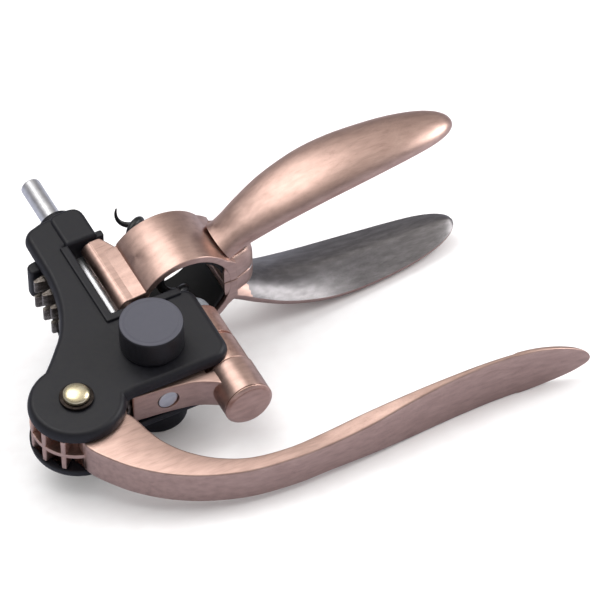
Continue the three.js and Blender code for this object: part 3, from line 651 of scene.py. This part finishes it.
# %% Arm loft
arm_outer = [
    [-5, -10], [-4.4, -16.6], [0.3, -24.5], [6, -31.3], [13.6, -37.8], [23.6, -43.6],
    [36, -47.9], [50, -49.7], [62, -49.8], [76, -49.3], [90, -47.9], [104, -46.7],
    [118, -46.3], [130, -46.9], [138, -47.9], [144.4, -49], [148, -49.7], [149.8, -50.2],
    [150.4, -50.4],
]
arm_inner = [
    [9, -5], [13.6, -10.5], [15.8, -18.6], [18.3, -25], [22.6, -31.3], [29.2, -37.3],
    [38.3, -41.9], [50, -43.8], [62, -43.4], [76, -42.9], [90, -43.2], [104, -43.5],
    [118, -43.9], [130, -45], [138, -46.2], [144.2, -47.6], [147.8, -48.8], [149.7, -49.7],
    [150.3, -50.1],
]
arm_half = [LEVER_HALF] * 8 + [6.1, 6.9, 8.2, 8.9, 9.0, 8.7, 7.5, 5.6, 3.7, 2.0, 0.5]
print("arm stations:", len(arm_outer), len(arm_inner), len(arm_half))

# %% Arm surface


def section(ease, half_width, half_height, sides=7, bend=6):
    """Rings of a rectangle with eased corners: corner signs times (half size - ease), plus ease
    times a direction that turns 90 degrees at each corner; the long sides get extra points."""
    turn = np.radians(np.linspace(0, 90, bend))
    corner_x, corner_y, out_x, out_y = [], [], [], []
    for k, (sx, sy) in enumerate([(1, 1), (-1, 1), (-1, -1), (1, -1)]):
        corner_x.append(np.full(bend, sx))
        corner_y.append(np.full(bend, sy))
        out_x.append(np.cos(turn + k * math.pi / 2))
        out_y.append(np.sin(turn + k * math.pi / 2))
        if k in (1, 3):
            span = np.linspace(1, -1, sides)[1:-1]
            corner_x.append(np.full(sides - 2, sx))
            corner_y.append(span * sy)
            out_x.append(np.full(sides - 2, sx))
            out_y.append(np.zeros(sides - 2))
    parts = (corner_x, corner_y, out_x, out_y)
    corner_x, corner_y, out_x, out_y = (np.concatenate(part)[None] for part in parts)
    e, w, h = (np.asarray(v)[:, None] for v in (ease, half_width, half_height))
    return corner_x * (w - e) + out_x * e, corner_y * (h - e) + out_y * e


STATIONS, CROWN = 150, 0.35
outer_line = through(np.column_stack([arm_outer, arm_half]), STATIONS)
inner_line = through(np.column_stack([arm_inner, arm_half]), STATIONS)
middle = (outer_line + inner_line)[:, :2] / 2
across = (inner_line - outer_line)[:, :2]
width = np.linalg.norm(across, axis=1)
across /= width[:, None]
height = np.minimum(outer_line[:, 2], inner_line[:, 2])
ease = np.minimum(0.75, np.minimum(width * 0.3, height * 0.4))
u, v = section(ease, width / 2, height)
# The broad faces bulge by CROWN mm, but only past the bow and only where the arm is wide.
grown = np.clip((np.arange(STATIONS) / STATIONS - 0.35) * 4, 0, 1)[:, None]
crown = CROWN * grown * (1 - (v / height[:, None]) ** 2)
on_face = (np.abs(u) > (width / 2 - ease)[:, None] * 0.98) & (width > 2)[:, None]
u = u + np.sign(u) * (crown - CROWN) * on_face
arm_rings = np.concatenate([middle[:, None] + u[..., None] * across[:, None], v[..., None]], 2)
arm = skin(arm_rings)
piece("lever_forging", "lever", copper_cast, ["lever"], [arm, *tooth_rows, gear_web])

# %% [markdown]
# ## Holder, carriage and rod
#
# The worm's holder and the arm that reaches to the rack are one casting, the carriage. Its holder
# is a plain cylinder closed by a chamfered cap. Below it, past a fine parting line, comes the
# nut carrier with a groove across it, and then the grey nylon nut with its domed end.

# %% Carriage and cap
HOLDER_R, HOLDER_END, PARTING = 7.93, -19.4, -5.5
arm_plan = rounded(
    [
        [17, -3.4], [16.4, -4.5], [28, -5.8], [36.5, -7.3], [42.5, -10.5], [44.5, -12.7],
        [49.2, -12.7], [49.2, -5.55], [41.1, -5.55], [41.1, 0.6], [20.8, 0.6], [20.8, -3.4],
    ],
    [0.9, 0.9, 3, 3, 3, 1, 0, 0, 0, 0.9, 0.9, 0], 8,
)
carriage_arm = slab(arm_plan, -5.6, 5.6, 0.45)
holder_profile = [[0, -17.95], [HOLDER_R, -17.95], [HOLDER_R, PARTING], [0, PARTING]]
holder = turned(eased_profile(holder_profile, [0.15, 0.25]), (WORM_X, 0), "Y", 128)
rod_seat = turned([[0, -12], [3.5, -12], [3.5, 5], [0, 5]], (ROD_X, 0), "Y", 64)
piece(
    "carriage_casting", "carriage", copper_cast, ["carriage"],
    [carriage_arm, holder], [rod_seat],
)
cap_profile = [
    [0, HOLDER_END], [6.9, HOLDER_END], [HOLDER_R, -18.55], [HOLDER_R, -18.2], [0, -18.2]
]
cap = turned(eased_profile(cap_profile, [0.4, 0.3, 0.1]), (WORM_X, 0), "Y", 128)
piece("holder_end_cap", "carriage", copper_turned, ["holder_cap"], [cap])

# %% Guide rod
rod_profile = [[0, -5.7], [3.25, -5.7], [3.25, 93], [0, 93]]
rod = turned(eased_profile(rod_profile, [0.3, 0.45]), (ROD_X, 0), "Y", 72)
piece("guide_rod_bar", "carriage", steel_drawn, ["guide_rod"], [rod])

# %% Nut carrier and nut
barrel = turned(
    rounded(
        [
            [5.3, -5.2], [7.6, -5.2], [7.6, 5.5], [6.7, 5.5],
            [6.7, 6.75], [7.45, 6.75], [7.45, 18.4], [5.3, 18.4],
        ],
        [0.1, 0.25, 0.2, 0.1, 0.1, 0.2, 0.3, 0.1],
    ), (WORM_X, 0), "Y", 128, True,
)
piece("nut_carrier_barrel", "frame", copper_turned, ["nut_carrier"], [barrel])
swell = np.radians(np.linspace(0, 80, 10))
NUT_BORE, NUT_START = 4.85, 18.7
nut_end = [NUT_BORE + 1.55 * np.cos(swell), NUT_START + 5.5 * (0.35 + 0.65 * np.sin(swell))]
nut_profile = np.vstack([
    [[NUT_BORE, NUT_START], [6.4, NUT_START]], np.stack(nut_end, 1), [[NUT_BORE, 24.1]]
])
nut_ring = turned(nut_profile, (WORM_X, 0), "Y", 96, True)
piece("nut_dome", "frame", nylon, ["nut_insert"], [nut_ring])

# %% [markdown]
# ## Rack and worm
#
# The rack is a steel bar with ten teeth in two rows, which the lever's gear rolls along. Each row
# is one outline with eased corners. The rack ends in a rounded plastic tip. The worm is a
# coated wire wound on a helix: a circle carried along it, turned to stay square to the wire, with
# the wire's radius shrinking to a point over the last turn.

# %% Rack
PITCH = 2 * math.pi * PITCH_R / TEETH
tooth_y = np.radians(FIRST_GAP) * PITCH_R + PITCH * np.arange(GAPS)
tooth = np.array([[15.4, -1.74], [10.0, -0.61], [10.0, 0.61], [15.4, 1.74]])
teeth = (np.array([[0, 1]]) * tooth_y[:, None])[:, None] + tooth
rack_end = tooth_y[-1] + 3
rack_outline = np.vstack([
    [[20.5, rack_end], [20.5, -3.1], [15.4, -3.1]], teeth.reshape(-1, 2), [[15.4, rack_end]]
])
row = rounded(rack_outline, 0.45, 3)
back = box_outline(15.3, 20.5, -3.1, rack_end, 0.45)
piece(
    "rack_bar", "carriage", steel_ground, ["rack"],
    [slab(row, 1.05, 5.8, 0.15), slab(row, -5.8, -1.05, 0.15), slab(back, -5.75, 5.75, 0.1)],
)
tip_start, tip_end = rack_end + 0.3, rack_end + 4.9
tip_outline = rounded(
    [[10.6, tip_start], [20.5, tip_start], [20.5, tip_end], [10.6, tip_end]],
    [1.4, 1.4, 1.6, 3.9], 9,
)
tip = slab(tip_outline, -5.8, 5.8, 0.8)
piece("rack_end_tip", "carriage", abs_black, ["rack_tip"], [tip])

# %% Worm
WORM_PITCH, WORM_MEAN_R, WIRE_R, HELIX_START, WORM_TIP = 10.5, 2.9, 1.45, 13.0, 70.4
turns = (WORM_TIP - HELIX_START) / WORM_PITCH
t = np.linspace(0, 1, 330)
angle = math.radians(225) - (1 - t) * turns * 2 * math.pi
coil_r = WORM_MEAN_R * np.clip(t * turns / 0.5, 0, 1) ** 0.8
wire_r = 0.2 + (WIRE_R - 0.2) * np.clip((1 - t) * turns / 0.8, 0, 1) ** 0.7
coil_y = HELIX_START + t * (WORM_TIP - HELIX_START)
coil = np.stack([WORM_X + coil_r * np.cos(angle), coil_y, -coil_r * np.sin(angle)], 1)
along = np.gradient(coil, axis=0)
along /= np.linalg.norm(along, axis=1)[:, None]
outward = np.stack([np.cos(angle), np.zeros_like(t), -np.sin(angle)], 1)
side = np.cross(along, outward)
side /= np.linalg.norm(side, axis=1)[:, None]
lift = np.cross(side, along)
round_angle = np.linspace(0, 2 * math.pi, 24, endpoint=False)[None, :, None]
round_wire = lift[:, None] * np.cos(round_angle) + side[:, None] * np.sin(round_angle)
wire = coil[:, None] + wire_r[:, None, None] * round_wire
shank_profile = [[0, -16.4], [5, -16.4], [5, -8.5], [2.1, -8.5], [2.1, 14.5], [0, 14.5]]
shank = turned(eased_profile(shank_profile, [0.3, 0.3, 0.1, 0.5]), (WORM_X, 0), "Y", 48)
piece("worm_wire", "worm", coated, ["worm"], [skin(wire), shank], crease=50)

# %% [markdown]
# ## The clamp handles
#
# Each handle is one casting: a hinge flange, a jaw band that wraps half of a bottle's neck, a root
# with a round end, and a leaf-shaped grip that leaves the root in a waist. The jaw is an outline
# seen along the worm, stacked with eased edges. The grip is a loft: its outer side is half an
# ellipse, its inner side a low roof whose ridge fades towards the root, and near the root the
# section flares, as a casting's fillet does.

# %% Jaw, flange and root
JAW_X, JAW_OUT, JAW_IN, FLANGE_Y0, JAW_Y1, FLANGE_Y1 = 51.0, 17.4, 15.0, 28.3, 50.1, 55.6
jaw_outline = np.vstack([
    [[31.8, 9.85], [37.35, 10.3]],
    arc(JAW_X, 0, JAW_OUT, 140.4, 36, 60),
    [[66.9, 8.9], [68.5, 7.4], [68.5, HALF_GAP], [66.0, HALF_GAP]],
    arc(JAW_X, 0, JAW_IN, 10, 151, 70),
    [[36.4, 5.2], [31.8, 3.6]],
])
jaw = slab(jaw_outline, FLANGE_Y0, JAW_Y1, 0.35, "XZ")
bar_profile = [[0, FLANGE_Y0], [3.4, FLANGE_Y0], [3.4, FLANGE_Y1], [0, FLANGE_Y1]]
barrel_bar = turned(eased_profile(bar_profile, [0.5, 0.5]), HINGE, "Y", 64)
wing_outline = rounded(
    [
        [30.6, FLANGE_Y0], [37.2, FLANGE_Y0], [37.2, JAW_Y1 + 0.2],
        [34.4, FLANGE_Y1], [30.6, FLANGE_Y1],
    ],
    [0, 0, 1.2, 0.8, 0],
)
wing = slab(wing_outline, 5.6, 9.95, 0.35)
root_levels = np.vstack([edge(HALF_GAP, 0.5, 0.5, 4, -1)[::-1], edge(8.2, 4.6, 2.8, 9)])
root_low, root_high = FLANGE_Y0 + 0.05, JAW_Y1 - 0.05
root_outline = rounded(
    [
        [64.0, root_low], [67.8, root_low], [76.9, 31.4],
        [77.6, 45.2], [67.8, root_high], [64.0, root_high],
    ],
    [0, 4.3, 7.2, 7.2, 4.3, 0], 12,
)
root = plate(root_outline, root_levels)
print("jaw, flange, wing and root made")

# %% Grip
GRIP_Y = 37.6
grip_x = [67.0, 72.0, 77.5, 86.5, 98, 108.5, 119, 129, 137.5, 143, 146, 147.4, 147.9]
grip_z = [8.6, 11.6, 14.8, 19, 22.4, 24, 24.6, 24.7, 24.3, 23.9, 23.6, 23.45, 23.4]
half_w = [6.6, 7.5, 8.8, 10.4, 11.4, 11.4, 10.6, 9.4, 7.7, 5.7, 3.7, 2.0, 0.4]
half_h = [4.0, 4.5, 4.7, 4.9, 5.3, 5.3, 5.0, 4.5, 3.8, 2.9, 2.0, 1.1, 0.3]
LEAF = 130
spine = through(np.column_stack([grip_x, grip_z, half_w, half_h]), LEAF)
step_x, step_z = np.gradient(spine[:, 0]), np.gradient(spine[:, 1])
length = np.hypot(step_x, step_z)
lean = np.stack([-step_z / length, step_x / length], 1)
far_along = np.cumsum(length)
flare = np.exp(-far_along / 3.2)
leaf_w = (spine[:, 2] + 1.4 * flare)[:, None]
leaf_h = (spine[:, 3] + 0.6 * flare)[:, None]
phi = np.linspace(0, 2 * math.pi, 88, endpoint=False)[None]
share = np.cos(phi)
sharp = (2.3 - 1.0 * np.clip(far_along / 45, 0, 1))[:, None]
outer_side = np.sqrt(np.clip(1 - np.abs(share) ** 2.3, 0, 1))
inner_side = -0.72 * (1 - np.abs(share) ** sharp)
lift_z = leaf_h * np.where(np.sin(phi) >= 0, outer_side, inner_side)
leaf = np.stack([
    spine[:, :1] + lean[:, :1] * lift_z,
    GRIP_Y + leaf_w * share,
    spine[:, 1:2] + lean[:, 1:] * lift_z,
], 2)
leaf[..., 2] = np.maximum(leaf[..., 2], HALF_GAP)
grip = skin(leaf)

print("grip:", leaf.shape[0] * leaf.shape[1], "points")

# %% [markdown]
# Inside each jaw lies a rubber pad: a small round-cornered section swept along the jaw. A handle
# and its pad are made twice, the second time mirrored. The grip's faces that look at the other
# handle take a painted reflection, a darker and greyer copper, found once from each face's place
# and direction.

# %% Pads and both handles
PAD_IN, PAD_OUT, PAD_STEPS, INNER_FROM = 13.4, 14.75, 60, 74
pad_low, pad_high = FLANGE_Y0 + 1.2, JAW_Y1 - 1.2
pad_profile = rounded(
    [[PAD_IN, pad_low], [PAD_OUT, pad_low], [PAD_OUT, pad_high], [PAD_IN, pad_high]], 0.45, 4
)
pad_turn = np.radians(np.linspace(16, 148, PAD_STEPS))[:, None]
reach, level = pad_profile[:, 0], np.tile(pad_profile[:, 1], (PAD_STEPS, 1))
pad = skin(np.stack([JAW_X + reach * np.cos(pad_turn), level, reach * np.sin(pad_turn)], 2))
for side, far in (("near", False), ("far", True)):
    handle = f"{side}_handle"
    casting = piece(
        f"{side}_handle_casting", handle, copper_cast, [handle],
        [jaw, barrel_bar, wing, root, grip], far=far, crease=38,
    )
    # The second finish is a painted reflection: grip faces past INNER_FROM that turn towards the
    # other handle are drawn darker and greyer.
    casting.data.materials.append(copper_painted_reflection)
    faces = casting.data.polygons
    centre, facing = np.zeros((2, len(faces) * 3))
    faces.foreach_get("center", centre)
    faces.foreach_get("normal", facing)
    along_x = (centre.reshape(-1, 3) - ORIGIN) @ TOOL_X * 1000
    inward = facing.reshape(-1, 3) @ TOOL_Z * (1 if far else -1)
    inner = (along_x > INNER_FROM) & (inward > 0.3)
    faces.foreach_set("material_index", inner.astype(np.int32))
    piece(f"{side}_pad_liner", handle, rubber, [f"{side}_pad"], [pad], far=far)

# %% [markdown]
# The pins, the screws and the thrust washer hardly show, and their plain shapes are right as they
# are, so they only get their finishes.

# %% Finishes of the small steel
small_steel = {
    "near_hinge_pin": steel_drawn, "far_hinge_pin": steel_drawn, "thrust_washer": steel_drawn,
    "screw_middle": steel_dark, "screw_lower": steel_dark,
}
for name, finish in small_steel.items():
    data = frame["nodes"][name].data
    data.materials.clear()
    data.materials.append(finish)
print("small steel:", sorted(small_steel))

# %% [markdown]
# ## Camera, light and floor
#
# A long lens far away keeps parallel edges parallel. The light is a studio's: a wide soft box
# above, a weaker one from the right, and a white room that fills the shadows. What the metal
# mirrors is toned separately, cooler and brighter low down, so its sides don't turn white. The
# floor is a plain sheet of white paper, large enough that no edge of it shows.

# %% Camera
ROLL, VIEW_WIDTH, DISTANCE = math.radians(-1.9), 600 / 3.27, 2500.0
# The tool's origin lies this share of the view's width to the left of its middle, and below it.
VIEW_ACROSS, VIEW_UP = 0.37, 119.8 / 600
look_tool = np.array([0.2776, 0.590, -0.758])
look_tool /= np.linalg.norm(look_tool)
right = np.cross(look_tool, [0, 0, 1])
right /= np.linalg.norm(right)
up = np.cross(right, look_tool)
cosine, sine = math.cos(ROLL), math.sin(ROLL)
right, up = cosine * right + sine * up, cosine * up - sine * right
centre = (right * VIEW_ACROSS + up * VIEW_UP) * VIEW_WIDTH
camera = bpy.data.objects.new("camera", bpy.data.cameras.new("camera"))
bpy.context.scene.collection.objects.link(camera)
turn = np.stack([right @ AXES, up @ AXES, -(look_tool @ AXES)], 1)
stand = Matrix.Translation(place(centre - look_tool * DISTANCE))
camera.matrix_world = stand @ Matrix(turn.tolist()).to_4x4()
camera.data.lens = camera.data.sensor_width * DISTANCE / VIEW_WIDTH
camera.data.clip_start, camera.data.clip_end = 0.1, 100
bpy.context.scene.camera = camera
print("camera at", [round(v, 3) for v in camera.location], "lens", round(camera.data.lens))

# %% Light and floor
bpy.context.scene.view_settings.view_transform = "Standard"
world = bpy.data.worlds.new("studio room")
bpy.context.scene.world = world
world.use_nodes = True
sky = world.node_tree
direction = add(sky, "ShaderNodeTexCoord").outputs["Generated"]
height = add(sky, "ShaderNodeSeparateXYZ", [(0, direction)]).outputs["Z"]
mirrored_room = [
    (0.0, "#dcdde6"), (0.12, "#b6b6c0"), (0.3, "#6b6a71"),
    (0.55, "#858284"), (0.78, "#bdb9b6"), (0.95, "#d6d2ce"),
]
shade = add(sky, "ShaderNodeValToRGB", [("Fac", height)], mirrored_room).outputs["Color"]
glossy = add(sky, "ShaderNodeLightPath").outputs["Is Glossy Ray"]
room = [(0, glossy), (6, linear("#ffffff")), (7, shade)]
both = add(sky, "ShaderNodeMix", room, data_type="RGBA")
sky.links.new(both.outputs[2], sky.nodes["Background"].inputs["Color"])
sky.nodes["Background"].inputs["Strength"].default_value = 1.0


def soft_box(name, place_at, aim, size, power):
    """Square area light that faces its aim point, both in metres on the table."""
    lamp = bpy.data.objects.new(name, bpy.data.lights.new(name, "AREA"))
    bpy.context.scene.collection.objects.link(lamp)
    lamp.data.size, lamp.data.energy = size, power
    lamp.location = place_at
    lamp.rotation_euler = (Vector(aim) - Vector(place_at)).to_track_quat("-Z", "Y").to_euler()
    return lamp


soft_box("overhead box", (-0.15, 0.15, 0.75), (0, 0, 0), 0.6, 2.3)
soft_box("side box", (0.6, -0.2, 0.4), (0, 0, 0.02), 0.35, 2.2)

paper, tree, shader = material_tree("white paper")
fibres = add(tree, "ShaderNodeTexNoise", [("Vector", cells(tree, (30, 30, 30)))])
stops = [(0.3, "#f7f5f5"), (0.7, "#fbfafa")]
sheet = add(tree, "ShaderNodeValToRGB", [("Fac", fibres.outputs[0])], stops).outputs["Color"]
mirrored = add(tree, "ShaderNodeLightPath").outputs["Is Glossy Ray"]
tones = [(0, mirrored), (6, sheet), (7, linear("#a9abb8"))]
toned = add(tree, "ShaderNodeMix", tones, data_type="RGBA")
tree.links.new(toned.outputs[2], shader.inputs["Base Color"])
shader.inputs["Roughness"].default_value = 0.9
floor_mesh = bpy.data.meshes.new("floor")
floor_mesh.from_pydata([(-6, -6, 0), (6, -6, 0), (6, 6, 0), (-6, 6, 0)], [], [(0, 1, 2, 3)])
floor_mesh.materials.append(paper)
floor = bpy.data.objects.new("floor", floor_mesh)
bpy.context.scene.collection.objects.link(floor)

print("floor and", len(bpy.data.lights), "soft boxes")
